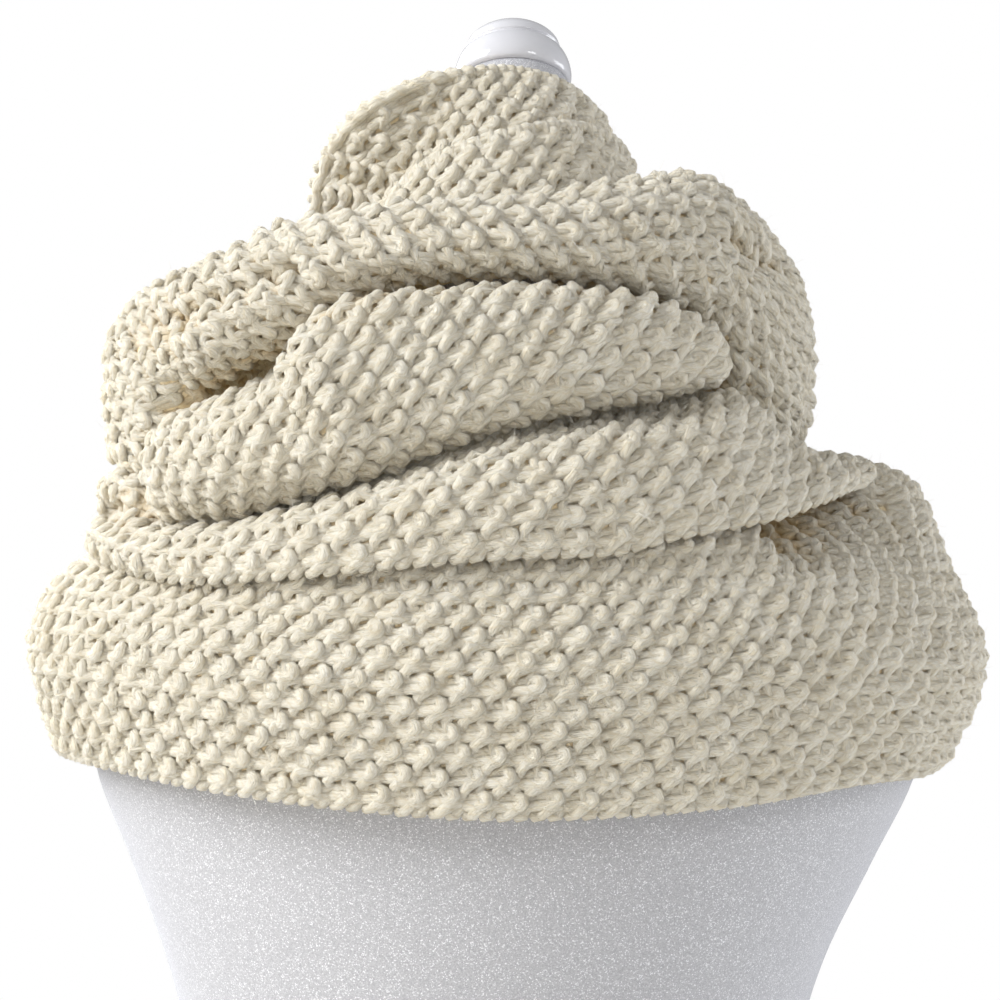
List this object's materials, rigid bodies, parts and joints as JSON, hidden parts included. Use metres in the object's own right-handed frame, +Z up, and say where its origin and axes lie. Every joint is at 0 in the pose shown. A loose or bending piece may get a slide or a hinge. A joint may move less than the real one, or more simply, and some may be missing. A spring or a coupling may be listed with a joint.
{
  "type": "infinity scarf on a dress form",
  "caption": "Chunky seed-stitch knitted loop scarf wound twice in soft folds round the neck and shoulders of a limbless jersey-covered dress form with a turned neck knob.",
  "frame": {"origin": "on the underside of the form's base board, straight below the middle of the neck", "axes": "+Z up, -Y towards the front of the form, +X to the right as seen from the front"},
  "size_m": [0.4288, 0.2929, 0.7652],
  "materials": {
    "wool": "matte, cream bulky wool in seed stitch, softly fuzzy",
    "jersey": "white stretch jersey with a fine sparkle",
    "knob": "glossy white",
    "base_board": "satin off-white"
  },
  "bodies": {
    "root": {"form_body": "jersey", "form_base": "base_board", "neck_cap": "jersey", "neck_knob": "knob", "shoulder_wrap": "wool", "lower_lap": "wool", "middle_fold": "wool", "top_roll": "wool", "neck_layer": "wool", "hood": "wool"}
  },
  "joints": []
}
